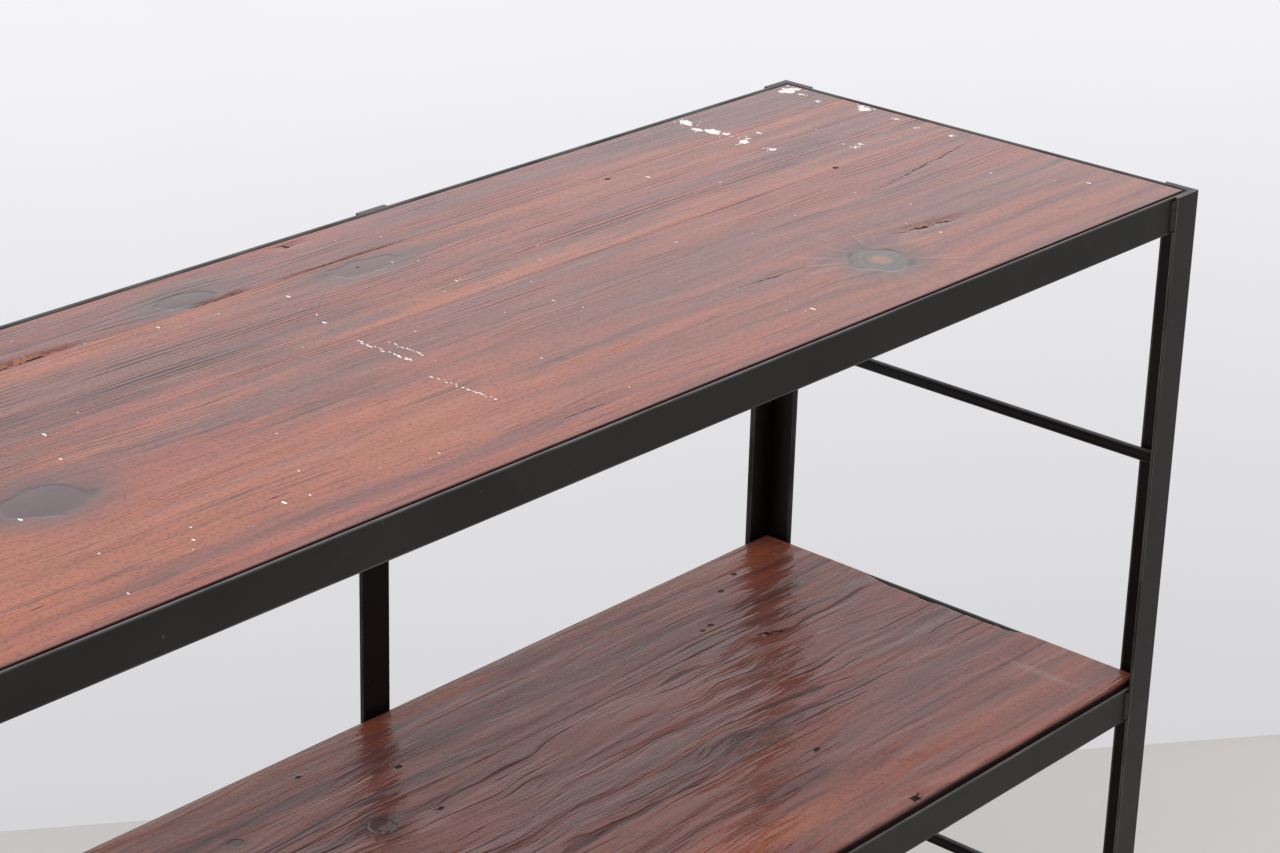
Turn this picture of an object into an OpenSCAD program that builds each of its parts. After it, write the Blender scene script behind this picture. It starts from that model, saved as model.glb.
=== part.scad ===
// Open bookcase: a welded frame of steel angle that holds three drop-in timber boards.
// The origin is on the floor at the middle of the footprint.
// +X runs to the right, +Y to the back and +Z up. All sizes are in millimetres.

/* [Overall] */
// Width over the corner posts
width = 1250; // [900:10:1800]
// Depth over the corner posts
depth = 350; // [250:5:450]

/* [Shelf levels] */
// Height from the top edge of one shelf frame to the top edge of the next
shelf_pitch = 360; // [250:5:450]
// Clear height between the floor and the bottom shelf frame
floor_clearance = 55; // [50:5:200]

/* [Steel] */
// Leg width of the equal angle that the posts and rails are cut from
angle_leg = 25; // [20:1:40]
// Thickness of the angle and of the flat bar
steel_t = 3; // [2:0.5:4]
// Radius of the rolled inner corner along each edge of the angle
toe_r = 2; // [0.5:0.5:2]
// Width of the two flat bar uprights at the back
upright_w = 25; // [16:1:50]
// Diameter of the round bars across the two ends
rod_d = 9; // [6:0.5:13]

/* [Boards] */
// Thickness of the top board, which ends level with its steel frame
top_board_t = 22; // [16:0.5:40]
// Thickness of the two lower boards, which stand proud of their frames
shelf_board_t = 26; // [16:0.5:40]
// Gap all round between a board and the upright leg of its frame
board_gap = 1.5; // [0.5:0.5:5]
// Radius worn on the front and back arris of a board
arris_r = 2; // [0.5:0.5:5]
// Share of the top board's depth in front of its first glue line
top_front_share = 0.56; // [0.3:0.01:0.6]
// Share of the top board's depth in front of its second glue line
top_back_share = 0.85; // [0.7:0.01:0.9]
// Share of a lower board's depth in front of its first glue line
shelf_front_share = 0.35; // [0.2:0.01:0.45]
// Share of a lower board's depth in front of its second glue line
shelf_back_share = 0.72; // [0.55:0.01:0.85]

/* [Levelling feet] */
// Diameter of the screw
stud_d = 8; // [6:1:8]
// Radial clearance between the screw and each hole that it turns in
thread_clear = 0.05; // [0.02:0.01:0.1]
// How far a foot screws out from its shortest setting
foot_travel = 15; // [5:1:25]
// Diameter of the plastic pad
pad_d = 24; // [18:1:28]
// Height of the plastic pad
pad_h = 8; // [6:1:12]
// Bevel around the top of the pad
pad_bevel = 2; // [0.5:0.5:3]
// Depth of the socket in the pad that the screw turns in
socket_depth = 5; // [3:0.5:5]
// Size across the flats of the screw's collar and of the weld nut
hex_af = 13; // [13:1:15]
// Height of the hexagonal collar on the screw
collar_h = 5; // [3:0.5:8]
// Height of the weld nut
nut_h = 6.5; // [4:0.5:8]
// Thickness of the plate welded inside the bottom of each post
plate_t = 4; // [3:0.5:6]

/* [Hidden] */
$fn = 64;
// Overlap that lets a cut run cleanly past a face
over = 1;
// Length of screw that still shows above the nut when the foot is screwed right out
stud_spare = 3;

// Shelf levels, counted from the bottom
BOTTOM = 0;
MIDDLE = 1;
TOP = 2;
// Sides, as the sign of X or Y
LEFT = -1;
RIGHT = 1;
FRONT = -1;
BACK = 1;

frame_w = width - 2 * steel_t;
frame_d = depth - 2 * steel_t;
board_w = frame_w - 2 * (steel_t + board_gap);
board_d = frame_d - 2 * (steel_t + board_gap);
post_base = pad_h + collar_h;
foot_inset = (angle_leg + steel_t) / 2;
hex_d = hex_af / cos(30);
hole_d = stud_d + 2 * thread_clear;
stud_top = post_base + plate_t + nut_h + foot_travel + stud_spare;
upright_x = width / 6;

// Height of the top edge of the shelf frame at a level
function frame_top(level) = floor_clearance + angle_leg + level * shelf_pitch;
// Height of the ledge that a board lies on
function ledge_z(level) = frame_top(level) - angle_leg + steel_t;
// Middle of the clear height above the shelf frame at a level
function bay_middle(level) = (frame_top(level) + frame_top(level + 1) - angle_leg) / 2;
function board_t(level) = level == TOP ? top_board_t : shelf_board_t;
// Places across the depth where the three planks of a board begin and end
function plank_edges(level) = [
    -board_d / 2,
    board_d * ((level == TOP ? top_front_share : shelf_front_share) - 0.5),
    board_d * ((level == TOP ? top_back_share : shelf_back_share) - 0.5),
    board_d / 2
];

// Waste cut from a square corner at the origin, whose material lies in -X -Y, to round it
module corner_waste(r) {
    translate([-r, -r]) difference() {
        square(r + over);
        circle(r);
    }
}

// Section of the equal angle: heel at the origin, legs along +X and +Y
module angle_section() {
    difference() {
        union() {
            square([angle_leg, steel_t]);
            square([steel_t, angle_leg]);
        }
        translate([angle_leg, steel_t]) corner_waste(toe_r);
        translate([steel_t, angle_leg]) corner_waste(toe_r);
    }
}

// Corner post: its two legs wrap the corner of the shelf frames from outside
module corner_post(side, face) {
    color([0.13, 0.13, 0.12])
    scale([-side, -face, 1])
    translate([-width / 2, -depth / 2, post_base])
    linear_extrude(frame_top(TOP) - post_base) angle_section();
}

// Flat bar upright, welded to the back of the shelf frames at a third of the width
module upright(side) {
    color([0.13, 0.13, 0.12])
    translate([side * upright_x - upright_w / 2, depth / 2 - steel_t, frame_top(BOTTOM) - angle_leg])
    cube([upright_w, steel_t, frame_top(TOP) - frame_top(BOTTOM) + angle_leg]);
}

// Rail along X with its outer face on Y = 0, its ledge towards +Y and mitred ends
module mitred_rail(length) {
    reach = angle_leg + over;
    difference() {
        translate([-length / 2, 0, 0]) rotate([90, 0, 90]) linear_extrude(length) angle_section();
        for (end = [-1, 1])
            scale([end, 1, 1]) translate([length / 2, 0, -over]) linear_extrude(angle_leg + 2 * over)
            polygon([[over, -over], [-reach, reach], [over, reach]]);
    }
}

// Front or back rail of the shelf frame at a level
module long_rail(level, face) {
    color([0.15, 0.15, 0.14])
    translate([0, face * frame_d / 2, frame_top(level) - angle_leg])
    rotate([0, 0, face == FRONT ? 0 : 180])
    mitred_rail(frame_w);
}

// Left or right rail of the shelf frame at a level
module end_rail(level, side) {
    color([0.15, 0.15, 0.14])
    translate([side * frame_w / 2, 0, frame_top(level) - angle_leg])
    rotate([0, 0, side * 90])
    mitred_rail(frame_d);
}

// Round bar across an end, against the inner face of the posts, half way up a bay
module side_rod(level, side) {
    color([0.12, 0.12, 0.11])
    translate([side * (frame_w - rod_d) / 2, -frame_d / 2, bay_middle(level)])
    rotate([-90, 0, 0])
    cylinder(d = rod_d, h = frame_d);
}

// One plank of the board at a level, counted from the front
module plank(level, index) {
    edges = plank_edges(level);
    plank_w = edges[index + 1] - edges[index];
    color(index == 1 ? [0.42, 0.20, 0.12] : [0.36, 0.15, 0.09])
    translate([-board_w / 2, edges[index], ledge_z(level)])
    rotate([90, 0, 90]) linear_extrude(board_w)
    difference() {
        square([plank_w, board_t(level)]);
        if (index == 0)
            translate([0, board_t(level)]) mirror([1, 0]) corner_waste(arris_r);
        if (index == 2)
            translate([plank_w, board_t(level)]) corner_waste(arris_r);
    }
}

// Moves a foot's pieces from the origin to their place under a post
module at_foot(side, face) {
    translate([side * (width / 2 - foot_inset), face * (depth / 2 - foot_inset), 0]) children();
}

// Plate that closes the bottom of a post and carries the foot
module foot_plate(side, face) {
    plate_w = angle_leg - steel_t;
    color([0.15, 0.15, 0.14])
    at_foot(side, face)
    translate([0, 0, post_base]) difference() {
        translate([-plate_w / 2, -plate_w / 2, 0]) cube([plate_w, plate_w, plate_t]);
        translate([0, 0, -over]) cylinder(d = hole_d, h = plate_t + 2 * over);
    }
}

// The four nuts welded on the foot plates
module foot_weld_nuts() {
    color([0.6, 0.6, 0.58])
    for (side = [LEFT, RIGHT])
        for (face = [FRONT, BACK])
            at_foot(side, face) translate([0, 0, post_base + plate_t]) difference() {
                cylinder(d = hex_d, h = nut_h, $fn = 6);
                translate([0, 0, -over]) cylinder(d = hole_d, h = nut_h + 2 * over);
            }
}

// Levelling screw: a plain stud with a hexagonal collar that sits on the pad
module foot_screw(side, face) {
    stud_base = pad_h - socket_depth;
    color([0.65, 0.65, 0.63])
    at_foot(side, face) union() {
        translate([0, 0, stud_base]) cylinder(d = stud_d, h = stud_top - stud_base);
        translate([0, 0, pad_h]) cylinder(d = hex_d, h = collar_h, $fn = 6);
    }
}

// Plastic pad that stands on the floor, with a socket that the screw turns in
module foot_pad(side, face) {
    color([0.08, 0.08, 0.08])
    at_foot(side, face) difference() {
        union() {
            cylinder(d = pad_d, h = pad_h - pad_bevel);
            translate([0, 0, pad_h - pad_bevel])
            cylinder(d1 = pad_d, d2 = pad_d - 2 * pad_bevel, h = pad_bevel);
        }
        translate([0, 0, pad_h - socket_depth]) cylinder(d = hole_d, h = socket_depth + over);
    }
}

corner_post(LEFT, FRONT);  // post_front_left
corner_post(RIGHT, FRONT);  // post_front_right
corner_post(LEFT, BACK);  // post_back_left
corner_post(RIGHT, BACK);  // post_back_right
upright(LEFT);  // upright_left
upright(RIGHT);  // upright_right

long_rail(TOP, FRONT);  // top_rail_front
long_rail(TOP, BACK);  // top_rail_back
end_rail(TOP, LEFT);  // top_rail_left
end_rail(TOP, RIGHT);  // top_rail_right
long_rail(MIDDLE, FRONT);  // middle_rail_front
long_rail(MIDDLE, BACK);  // middle_rail_back
end_rail(MIDDLE, LEFT);  // middle_rail_left
end_rail(MIDDLE, RIGHT);  // middle_rail_right
long_rail(BOTTOM, FRONT);  // bottom_rail_front
long_rail(BOTTOM, BACK);  // bottom_rail_back
end_rail(BOTTOM, LEFT);  // bottom_rail_left
end_rail(BOTTOM, RIGHT);  // bottom_rail_right

side_rod(MIDDLE, LEFT);  // rod_upper_left
side_rod(MIDDLE, RIGHT);  // rod_upper_right
side_rod(BOTTOM, LEFT);  // rod_lower_left
side_rod(BOTTOM, RIGHT);  // rod_lower_right

plank(TOP, 0);  // top_plank_front
plank(TOP, 1);  // top_plank_middle
plank(TOP, 2);  // top_plank_back
plank(MIDDLE, 0);  // middle_plank_front
plank(MIDDLE, 1);  // middle_plank_middle
plank(MIDDLE, 2);  // middle_plank_back
plank(BOTTOM, 0);  // bottom_plank_front
plank(BOTTOM, 1);  // bottom_plank_middle
plank(BOTTOM, 2);  // bottom_plank_back

foot_plate(LEFT, FRONT);  // foot_plate_front_left
foot_plate(RIGHT, FRONT);  // foot_plate_front_right
foot_plate(LEFT, BACK);  // foot_plate_back_left
foot_plate(RIGHT, BACK);  // foot_plate_back_right
foot_weld_nuts();
foot_screw(LEFT, FRONT);  // foot_screw_front_left
foot_screw(RIGHT, FRONT);  // foot_screw_front_right
foot_screw(LEFT, BACK);  // foot_screw_back_left
foot_screw(RIGHT, BACK);  // foot_screw_back_right
foot_pad(LEFT, FRONT);  // foot_pad_front_left
foot_pad(RIGHT, FRONT);  // foot_pad_front_right
foot_pad(LEFT, BACK);  // foot_pad_back_left
foot_pad(RIGHT, BACK);  // foot_pad_back_right
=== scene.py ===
import math
import random

import bmesh
import bpy
from mathutils import Matrix, Vector, noise


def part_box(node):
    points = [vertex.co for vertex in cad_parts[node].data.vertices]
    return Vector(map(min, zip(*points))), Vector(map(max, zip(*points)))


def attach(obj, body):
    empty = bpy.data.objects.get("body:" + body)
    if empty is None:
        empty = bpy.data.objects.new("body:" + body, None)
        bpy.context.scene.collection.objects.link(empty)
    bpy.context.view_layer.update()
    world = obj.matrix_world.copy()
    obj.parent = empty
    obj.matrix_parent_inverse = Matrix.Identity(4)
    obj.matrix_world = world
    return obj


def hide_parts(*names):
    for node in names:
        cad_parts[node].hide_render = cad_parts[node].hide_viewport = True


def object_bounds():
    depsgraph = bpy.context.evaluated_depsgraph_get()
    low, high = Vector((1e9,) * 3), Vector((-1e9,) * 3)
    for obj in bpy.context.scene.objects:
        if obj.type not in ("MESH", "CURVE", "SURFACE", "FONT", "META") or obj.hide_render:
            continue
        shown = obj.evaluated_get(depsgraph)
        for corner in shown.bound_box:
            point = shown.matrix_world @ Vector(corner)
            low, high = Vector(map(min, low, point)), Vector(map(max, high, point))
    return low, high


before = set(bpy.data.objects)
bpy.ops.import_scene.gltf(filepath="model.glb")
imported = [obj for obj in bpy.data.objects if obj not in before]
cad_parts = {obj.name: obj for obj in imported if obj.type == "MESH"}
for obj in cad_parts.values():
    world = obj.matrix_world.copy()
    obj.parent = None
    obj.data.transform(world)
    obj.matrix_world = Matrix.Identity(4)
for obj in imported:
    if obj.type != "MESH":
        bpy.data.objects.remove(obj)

CAD_LOW, CAD_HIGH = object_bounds()
MM = 0.001
RIGHT, FRONT = CAD_HIGH.x, CAD_LOW.y
LEVELS = ("bottom", "middle", "top")
CORNERS = ("front_left", "front_right", "back_left", "back_right")

# Camera, from the top of the right front post's outer corner
CAMERA_OFFSET = Vector((-1.738, -1.030, 0.648))
CAMERA_HEADING = 41.0  # degrees from +X towards +Y
CAMERA_PITCH = 22.6  # degrees below the horizon
CAMERA_ROLL = 1.58  # degrees
CAMERA_LENS = 89.2  # millimetres on a 36 mm sensor

# Steel sections, as the frame's CAD has them
ANGLE_T = 3 * MM
TOE_R = 2 * MM
EDGE_R = 0.45 * MM
# the edge mask that this bounds carries wear and a painted highlight
GUARD = 0.7 * MM  # how far wear reaches from an edge


# ---- helpers


BOXES = {node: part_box(node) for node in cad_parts}


def low(node):
    return Vector(BOXES[node][0])


def high(node):
    return Vector(BOXES[node][1])


def smooth_step(a, b, x):
    t = min(max((x - a) / (b - a), 0.0), 1.0)
    return t * t * (3 - 2 * t)


def ripple(x, y=0.0, z=0.0):
    """Smooth noise from -1 to 1."""
    return noise.noise(Vector((x, y, z)))


def steps(start, end, spacing):
    """Evenly spaced values from start to end, both included."""
    count = max(1, round(abs(end - start) / spacing))
    return [start + (end - start) * i / count for i in range(count + 1)]


def edged_steps(start, end, spacing, edges=(0.25 * MM, 0.7 * MM, 1.4 * MM, 2.4 * MM)):
    """As steps, with closer values beside both ends, where an edge is rounded."""
    inner = steps(start + 4 * MM, end - 4 * MM, spacing)
    return [start] + [start + e for e in edges] + inner + [end - e for e in reversed(edges)] + [end]


def add_mesh(name, verts, faces, material, body, replaces=(), edge=None):
    """A mesh piece that rides on a body. edge tells its material, per vertex, what lies on an edge."""
    mesh = bpy.data.meshes.new(name)
    mesh.from_pydata(verts, [], faces)
    mesh.validate()
    if edge is not None:
        layer = mesh.attributes.new("edge", "FLOAT", "POINT")
        layer.data.foreach_set("value", edge)
    bm = bmesh.new()
    bm.from_mesh(mesh)
    bmesh.ops.recalc_face_normals(bm, faces=bm.faces)
    bm.to_mesh(mesh)
    bm.free()
    mesh.shade_smooth()
    mesh.set_sharp_from_angle(angle=math.radians(35))
    mesh.materials.append(material)
    piece = bpy.data.objects.new(name, mesh)
    bpy.context.scene.collection.objects.link(piece)
    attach(piece, body)
    if replaces:
        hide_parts(*replaces)


def loft(verts, faces, rings):
    """Adds a closed solid through rings of points that all have the same count."""
    base, count = len(verts), len(rings[0])
    for ring in rings:
        verts.extend(ring)
    for a in range(base, base + (len(rings) - 1) * count, count):
        for i in range(count):
            k = (i + 1) % count
            faces.append((a + i, a + k, a + count + k, a + count + i))
    faces.append(tuple(range(base, base + count)))
    faces.append(tuple(range(len(verts) - count, len(verts))))


def turned(centre, radius, z, parts):
    """A level ring of points round a centre. radius is a number, or a function of the angle."""
    turns = [2 * math.pi * i / parts for i in range(parts)]
    sizes = [radius(a) if callable(radius) else radius for a in turns]
    return [centre + Vector((r * math.cos(a), r * math.sin(a), z)) for a, r in zip(turns, sizes)]


class Graph:
    """Short calls for building one material's nodes. A value is a number or a socket."""

    def __init__(self, name):
        self.material = bpy.data.materials.new(name)
        self.material.use_nodes = True
        self.nodes = self.material.node_tree.nodes
        self.links = self.material.node_tree.links
        self.nodes.clear()
        self.vectors = {}

    def feed(self, socket, value):
        if isinstance(value, bpy.types.NodeSocket):
            self.links.new(value, socket)
        elif isinstance(value, tuple) and len(value) == 3 and socket.type == "RGBA":
            socket.default_value = (*value, 1.0)
        else:
            socket.default_value = value

    def node(self, kind, values=(), **settings):
        made = self.nodes.new(kind)
        for key, value in settings.items():
            setattr(made, key, value)
        for key, value in dict(values).items():
            self.feed(made.inputs[key], value)
        return made

    def math(self, operation, *values):
        made = self.node("ShaderNodeMath", operation=operation)
        for socket, value in zip(made.inputs, values):
            self.feed(socket, value)
        return made.outputs[0]

    def vector(self, x, y, z):
        """x, y and z as one vector, made only once."""
        key = tuple(v.path_from_id() if isinstance(v, bpy.types.NodeSocket) else v for v in (x, y, z))
        if key not in self.vectors:
            made = self.node("ShaderNodeCombineXYZ")
            for socket, value in zip(made.inputs, (x, y, z)):
                self.feed(socket, value)
            self.vectors[key] = made.outputs[0]
        return self.vectors[key]

    def vector_math(self, operation, *values):
        made = self.node("ShaderNodeVectorMath", operation=operation)
        for socket, value in zip(made.inputs, values):
            self.feed(socket, value)
        return made.outputs["Value" if operation in ("LENGTH", "DOT_PRODUCT") else "Vector"]

    def add(self, first, *others):
        for other in others:
            first = self.math("ADD", first, other)
        return first

    def times(self, first, *others):
        for other in others:
            first = self.math("MULTIPLY", first, other)
        return first

    def between(self, value, start, end, out_start=0.0, out_end=1.0):
        """value mapped smoothly from start..end to out_start..out_end."""
        made = self.node("ShaderNodeMapRange", interpolation_type="SMOOTHSTEP")
        for socket, v in zip(made.inputs, (value, start, end, out_start, out_end)):
            self.feed(socket, v)
        return made.outputs[0]

    def ramp(self, value, stops):
        """Three values that follow one, through (position, (first, second, third)) stops, 0 to 1."""
        made = self.node("ShaderNodeValToRGB", {"Fac": value})
        elements = made.color_ramp.elements
        while len(elements) < len(stops):
            elements.new(1.0)
        for element, (position, values) in zip(elements, sorted(stops)):
            element.position = position
            element.color = (*values, 1.0)
        split = self.node("ShaderNodeSeparateColor", {"Color": made.outputs[0]})
        return split.outputs[0], split.outputs[1], split.outputs[2]

    def mix(self, factor, a, b):
        made = self.node("ShaderNodeMix", data_type="RGBA", clamp_factor=True)
        self.feed(made.inputs[0], factor)
        self.feed(made.inputs[6], a)
        self.feed(made.inputs[7], b)
        return made.outputs[2]

    def point(self):
        """The place on the object, in metres, as x, y and z sockets."""
        place = self.node("ShaderNodeTexCoord").outputs["Object"]
        split = self.node("ShaderNodeSeparateXYZ", {"Vector": place})
        return split.outputs[0], split.outputs[1], split.outputs[2]

    def noise(self, x, y, z, scale, detail=2.0, rough=0.5, seed=0.0):
        """Noise from 0 to 1. scale is per metre, for all axes or for each. seed moves it elsewhere."""
        scale = scale if isinstance(scale, tuple) else (scale,) * 3
        shift = (1.7 * seed, 2.9 * seed, 4.3 * seed)
        place = self.vector_math("MULTIPLY_ADD", self.vector(x, y, z), scale, shift)
        made = self.node(
            "ShaderNodeTexNoise",
            {"Vector": place, "Scale": 1.0, "Detail": detail, "Roughness": rough},
            noise_dimensions="3D",
        )
        return made.outputs["Fac"]

    def bump(self, height, distance, strength=1.0):
        values = {"Height": height, "Distance": distance, "Strength": strength}
        return self.node("ShaderNodeBump", values).outputs[0]

    def finish(self, colour, roughness, normal, values=()):
        """The material, with these on a Principled shader and values on its other sockets."""
        main = {"Base Color": colour, "Roughness": roughness, "Normal": normal}
        shader = self.node("ShaderNodeBsdfPrincipled", {**main, **dict(values)})
        output = self.node("ShaderNodeOutputMaterial")
        self.links.new(shader.outputs[0], output.inputs["Surface"])
        return self.material


# ---- materials


def steel_material():
    """Blackened steel under a satin lacquer, worn lighter along its edges with a painted highlight there too,
    and with a painted sheen and dust on the faces that look up.
    """
    g = Graph("blackened_steel")
    x, y, z = g.point()
    cloud = g.noise(x, y, z, 7, detail=4, seed=1)
    mottle = g.noise(x, y, z, 60, detail=3, seed=2)
    grit = g.noise(x, y, z, 900, detail=1, seed=3)
    base = g.mix(g.between(cloud, 0.32, 0.68), (0.0056, 0.0053, 0.0044), (0.0122, 0.0112, 0.0090))
    base = g.mix(g.between(mottle, 0.60, 0.80, 0, 0.6), base, (0.020, 0.016, 0.012))
    edge = g.node("ShaderNodeAttribute", attribute_name="edge").outputs["Fac"]
    broken = g.noise(x, y, z, 24, detail=4, seed=4)
    edge_wear_and_highlight = g.times(edge, g.between(broken, 0.30, 0.70, 0.25, 1.0))
    # wear and painted highlight: the edges lighten, standing in for the light that the rounded edges and toes
    # catch
    base = g.mix(g.times(edge_wear_and_highlight, 0.8), base, (0.135, 0.130, 0.120))
    facing = g.node("ShaderNodeNewGeometry").outputs["Normal"]
    # painted sheen, with dust: faces that look up are lightened, standing in for the reflection of the room
    # above them
    upward_sheen_and_dust = g.between(g.vector_math("DOT_PRODUCT", facing, (0.0, 0.0, 1.0)), 0.80, 0.98)
    base = g.mix(g.times(upward_sheen_and_dust, g.between(broken, 0.25, 0.65, 0.45, 1.0)), base, (0.105, 0.098, 0.100))
    spots = g.noise(x, y, z, 170, detail=2, seed=5)
    base = g.mix(g.between(spots, 0.74, 0.80, 0, 0.7), base, (0.075, 0.055, 0.035))
    rough = g.add(g.times(mottle, 0.14), g.times(edge_wear_and_highlight, -0.06), 0.34)
    height = g.add(g.times(grit, 0.2), mottle)
    return g.finish(base, rough, g.bump(height, 0.06 * MM, 0.6), {"IOR": 1.5, "Specular IOR Level": 0.22})


def weld_material():
    """Weld bead, blackened with the rest but rougher and a little browner."""
    g = Graph("weld_bead")
    x, y, z = g.point()
    mottle = g.noise(x, y, z, 300, detail=3, seed=6)
    base = g.mix(mottle, (0.008, 0.0075, 0.007), (0.030, 0.025, 0.020))
    return g.finish(base, g.add(g.times(mottle, 0.25), 0.35), g.bump(mottle, 0.2 * MM))


def plated_material():
    """Zinc plated steel, dull and slightly blotched."""
    g = Graph("zinc_plate")
    x, y, z = g.point()
    blotch = g.noise(x, y, z, 200, detail=4, seed=7)
    base = g.mix(blotch, (0.34, 0.335, 0.32), (0.60, 0.59, 0.56))
    return g.finish(base, g.add(g.times(blotch, 0.25), 0.25), g.bump(blotch, 0.05 * MM), {"Metallic": 1.0})


def plastic_material():
    """Black moulded plastic with a fine spark-eroded grain."""
    g = Graph("black_plastic")
    x, y, z = g.point()
    grain = g.noise(x, y, z, 2500, detail=1, seed=8)
    cloud = g.noise(x, y, z, 120, detail=2, seed=9)
    base = g.mix(cloud, (0.012, 0.012, 0.012), (0.022, 0.022, 0.021))
    return g.finish(base, g.add(g.times(cloud, 0.15), 0.45), g.bump(grain, 0.06 * MM))


def paint_material():
    """Old white paint, chalky and a little yellowed."""
    g = Graph("white_paint")
    x, y, z = g.point()
    dirt = g.noise(x, y, z, 900, detail=3, seed=10)
    base = g.mix(g.between(dirt, 0.4, 0.75), (0.86, 0.85, 0.80), (0.55, 0.50, 0.43))
    return g.finish(base, 0.45, g.bump(dirt, 0.1 * MM))


def at(from_right, from_front):
    """A place on a board, in millimetres from the right end and from the front."""
    return RIGHT - from_right * MM, FRONT + from_front * MM


class Knot:
    """A knot in a plank, in millimetres. kind is ringed, dark (smooth, no rings) or faint."""

    def __init__(self, from_right, from_front, radius, core=0.3, stretch=1.0, push=0.75, kind="ringed"):
        self.x, self.y = at(from_right, from_front)
        self.radius, self.core, self.stretch, self.push, self.kind = radius * MM, core, stretch, push, kind


class Crack:
    """A drying crack between two places on a plank's top. torn shows fresh wood beside it."""

    def __init__(self, start, end, width, torn=0.0):
        self.start, self.end, self.width, self.torn = Vector(at(*start)), Vector(at(*end)), width * MM, torn


class Look:
    """What sets one plank's timber apart from the next.

    pith is the heart of the growth rings: metres towards the back, and metres below the plank's top.
    ring is the spacing of the growth rings in metres.
    bands are (millimetres from the board's front, orange, grey, line) with values from 0 to 1.
    holes are (millimetres from the right, from the front, radius).
    stains are soft patches where the stain took differently, and one painted sheen band: (from the right,
    from the front, half their length, half their width, a name in STAIN_COLOURS, amount).
    """

    def __init__(self, seed, pith, ring, bands, relief=1.0, wave=1.0, wander=1.0, line=0.22, swirl=0.0,
                 coat=1.0, knots=(), cracks=(), holes=(), stains=()):
        self.seed, self.pith, self.ring, self.bands = seed, pith, ring, bands
        self.relief, self.wave = relief, wave  # how deep the grain and the coat's slow waves are
        self.wander, self.line, self.swirl, self.coat = wander, line, swirl, coat
        self.knots, self.cracks, self.holes, self.stains = knots, cracks, holes, stains


def oval_distance(g, x, y, place, rx, ry, uneven):
    """Distance from a place in the radii of an oval, made uneven, and the offset in those radii."""
    scale, shift = (1 / rx, 1 / ry, 0.0), (-place[0] / rx, -place[1] / ry, 0.0)
    offset = g.vector_math("MULTIPLY_ADD", g.vector(x, y, 0.0), scale, shift)
    rough = g.noise(x, y, 0.0, (0.9 / ry, 0.9 / ry, 1), detail=3, seed=place[0] * 7)
    distance = g.math("MULTIPLY_ADD", g.add(rough, -0.5), 2 * uneven, g.vector_math("LENGTH", offset))
    return distance, offset


BEND_ALONG, BEND_ACROSS = 2.4, 1.8  # how far from a knot the grain bends, in the knot's radii


def round_knots(g, x, y, knots):
    """The grain's own across coordinate: y, spread apart where it flows round each knot."""
    across = y
    for knot in knots:
        rx, ry = knot.radius * BEND_ALONG * knot.stretch, knot.radius * BEND_ACROSS
        scale, shift = (1 / rx, 1 / ry, 0.0), (-knot.x / rx, -knot.y / ry, 0.0)
        offset = g.vector_math("MULTIPLY_ADD", g.vector(x, y, 0.0), scale, shift)
        near = g.math("EXPONENT", g.times(g.vector_math("DOT_PRODUCT", offset, offset), -1.0))
        across = g.math("MULTIPLY_ADD", g.times(g.add(y, -knot.y), near), -knot.push, across)
    return across


def crack_mask(g, x, y, crack, swell=1.0):
    """1 in the middle of a crack, 0 outside it."""
    run = crack.end - crack.start
    length = run.length
    along = run / length
    flat, aside = g.vector(x, y, 0.0), Vector((-along.y, along.x))
    u = g.add(g.vector_math("DOT_PRODUCT", flat, (along.x, along.y, 0.0)), -crack.start.dot(along))
    v = g.add(g.vector_math("DOT_PRODUCT", flat, (aside.x, aside.y, 0.0)), -crack.start.dot(aside))
    waver = g.noise(x, y, 0.0, (32, 14, 1), detail=2, seed=crack.start.x * 5)
    ragged = g.noise(x, y, 0.0, (260, 90, 1), detail=2, seed=crack.start.x * 9)
    v = g.math("ABSOLUTE", g.add(v, g.times(g.add(waver, -0.5), 2.2 * crack.width)))
    taper = g.times(g.between(u, 0, 0.45 * length), g.between(u, 0.45 * length, length, 1, 0))
    width = g.add(g.times(taper, g.between(ragged, 0.3, 0.7, 0.3, 1.3), crack.width * swell), 1e-5)
    return g.times(g.between(g.math("DIVIDE", v, width), 0.35, 1.0, 1, 0), g.between(taper, 0.0, 0.15))


# Colours of the timber, and of what lies on it
RED, LIGHT_RED = (0.195, 0.046, 0.033), (0.260, 0.061, 0.041)
DARK_STREAK, DARK_DASH, PALE_DASH = (0.085, 0.027, 0.021), (0.050, 0.016, 0.011), (0.36, 0.135, 0.085)
RING_LINE, CRUMB, PORE = (0.026, 0.009, 0.006), (0.040, 0.014, 0.010), (0.014, 0.008, 0.007)
# the first and last colours on this line are painted shade inside cracks and nail holes
CRACK_SHADE, FRESH_WOOD, HOLE_SHADE = (0.008, 0.005, 0.004), (0.34, 0.13, 0.06), (0.022, 0.010, 0.007)
# the first colour on this line is painted shade for a plank's edges, ends, sides and underside
EDGE_SHADE, KNOT_HALO, KNOT_RIM = (0.020, 0.008, 0.007), (0.080, 0.052, 0.050), (0.020, 0.013, 0.011)
KNOT_WOOD = {
    "ringed": ((0.085, 0.067, 0.061), (0.135, 0.106, 0.094)),
    "dark": ((0.070, 0.040, 0.042), (0.095, 0.055, 0.056)),
    "faint": ((0.085, 0.040, 0.036), (0.13, 0.060, 0.052)),
}
KNOT_CORE, KNOT_RAY = (0.25, 0.115, 0.060), (0.30, 0.13, 0.09)
STAIN_COLOURS = {
    "orange": (0.34, 0.092, 0.038),
    "grey": (0.150, 0.066, 0.056),
    "dark": (0.055, 0.018, 0.014),
    # the next colour is a painted sheen, a light band that stands in for a reflection along the middle
    # board's worn right end
    "sheen_band": (0.34, 0.21, 0.18),
}


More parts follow.
